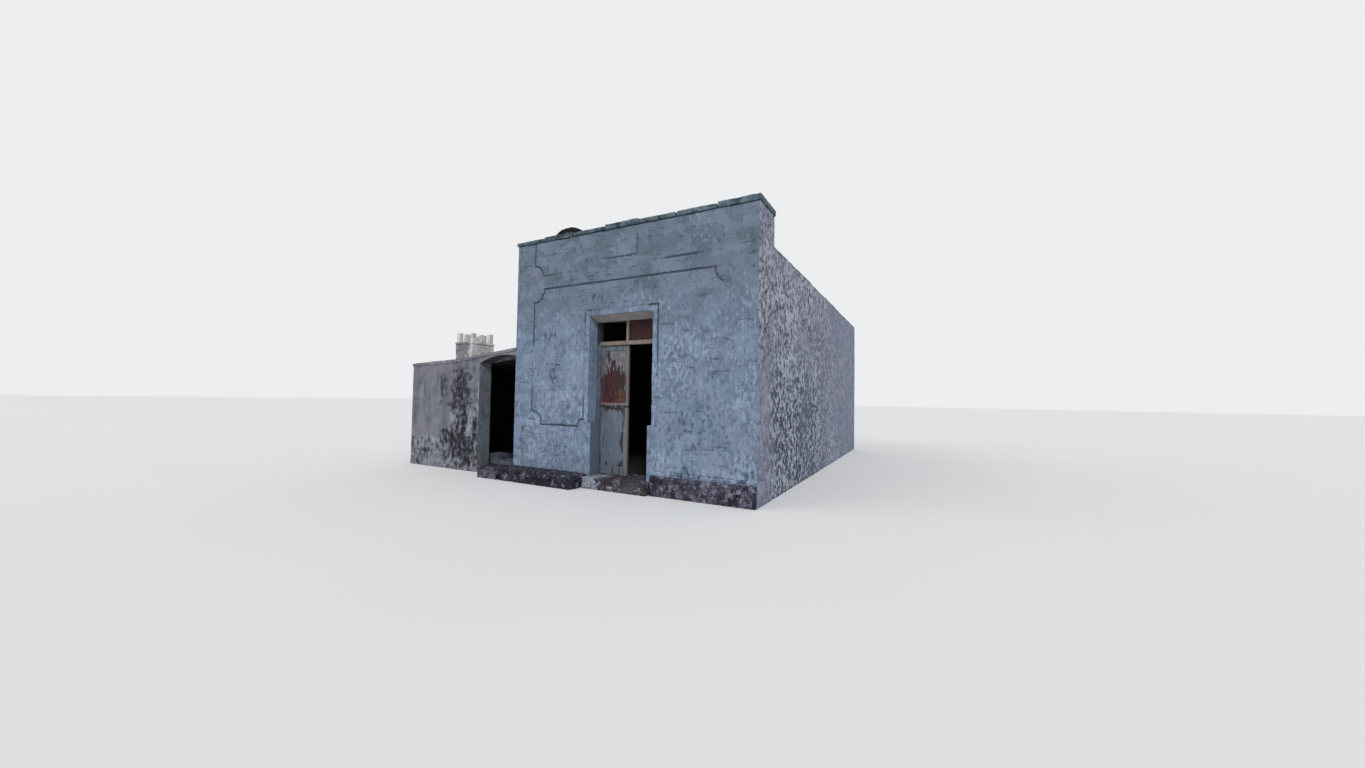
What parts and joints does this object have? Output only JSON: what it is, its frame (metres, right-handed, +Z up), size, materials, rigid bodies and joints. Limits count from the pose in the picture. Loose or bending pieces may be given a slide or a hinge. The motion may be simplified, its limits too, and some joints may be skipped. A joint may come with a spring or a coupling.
{
  "type": "vaulted stone field house",
  "caption": "Small lime-washed stone field house with a flat roof over a barrel vault, a tall panelled front parapet, a two-leaf door and a low side annex with a chimney.",
  "frame": {"origin": "middle of the base of the whole house's box, at the level the walls stand on", "axes": "+X runs along the front from the annex to the main block's right side, +Y from the front into the depth, +Z up"},
  "size_m": [7.375, 9, 4.194],
  "materials": {
    "lime_plaster": "lime plaster, weathered, bluish grey",
    "lime_washed_stone": "soft limestone blocks under streaked limewash",
    "bare_stone": "bare rough limestone, dark with lichen",
    "stone_slabs": "limestone paving slabs",
    "weathered_wood": "old painted wood, grey and flaking",
    "painted_wood": "old wood with worn red-brown paint",
    "wrought_iron": "rusted wrought iron"
  },
  "bodies": {
    "house": {"front_wall_left": "lime_washed_stone", "front_wall_right": "lime_washed_stone", "front_wall_over_door": "lime_washed_stone", "door_lintel": "lime_washed_stone", "parapet_wall": "lime_washed_stone", "parapet_coping": "bare_stone", "coping_dome_stone": "bare_stone", "facade_margin": "lime_plaster", "lower_panel": "lime_plaster", "frieze_panel": "lime_plaster", "frieze_plaque": "lime_plaster", "right_side_wall": "lime_washed_stone", "left_side_wall": "lime_washed_stone", "back_wall": "lime_washed_stone", "barrel_vault": "lime_washed_stone", "roof_fill": "bare_stone", "roof_deck": "stone_slabs", "room_floor": "stone_slabs", "door_threshold": "bare_stone", "jamb_plinth_left": "lime_plaster", "jamb_plinth_right": "lime_plaster", "base_course": "bare_stone", "stone_bench": "bare_stone", "door_frame": "weathered_wood", "transom_bar": "weathered_wood", "fanlight_mullion": "weathered_wood", "fanlight_board": "painted_wood", "frame_hinge_pins": "wrought_iron", "annex_front_wall": "lime_washed_stone", "annex_arch": "lime_washed_stone", "annex_left_wall": "lime_washed_stone", "annex_back_wall": "lime_washed_stone", "annex_roof": "stone_slabs", "annex_floor": "stone_slabs", "annex_inner_steps": "bare_stone", "annex_step": "bare_stone", "chimney_shaft": "lime_washed_stone", "chimney_ledge": "lime_washed_stone", "chimney_uprights": "lime_washed_stone"},
    "left_leaf": {"left_leaf_frame": "weathered_wood", "left_leaf_panels": "painted_wood", "left_leaf_hinges": "wrought_iron"},
    "right_leaf": {"right_leaf_frame": "weathered_wood", "right_leaf_panels": "painted_wood", "right_leaf_hinges": "wrought_iron"}
  },
  "joints": [
    {"name": "left_leaf_swing", "type": "hinge", "parent": "house", "child": "left_leaf", "pos_m": [0.953, -3.8657, 1.2], "axis": [0, 0, 1], "range_deg": [0, 95]},
    {"name": "right_leaf_swing", "type": "hinge", "parent": "house", "child": "right_leaf", "pos_m": [1.962, -3.8657, 1.2], "axis": [0, 0, 1], "range_deg": [-3, 92]}
  ]
}
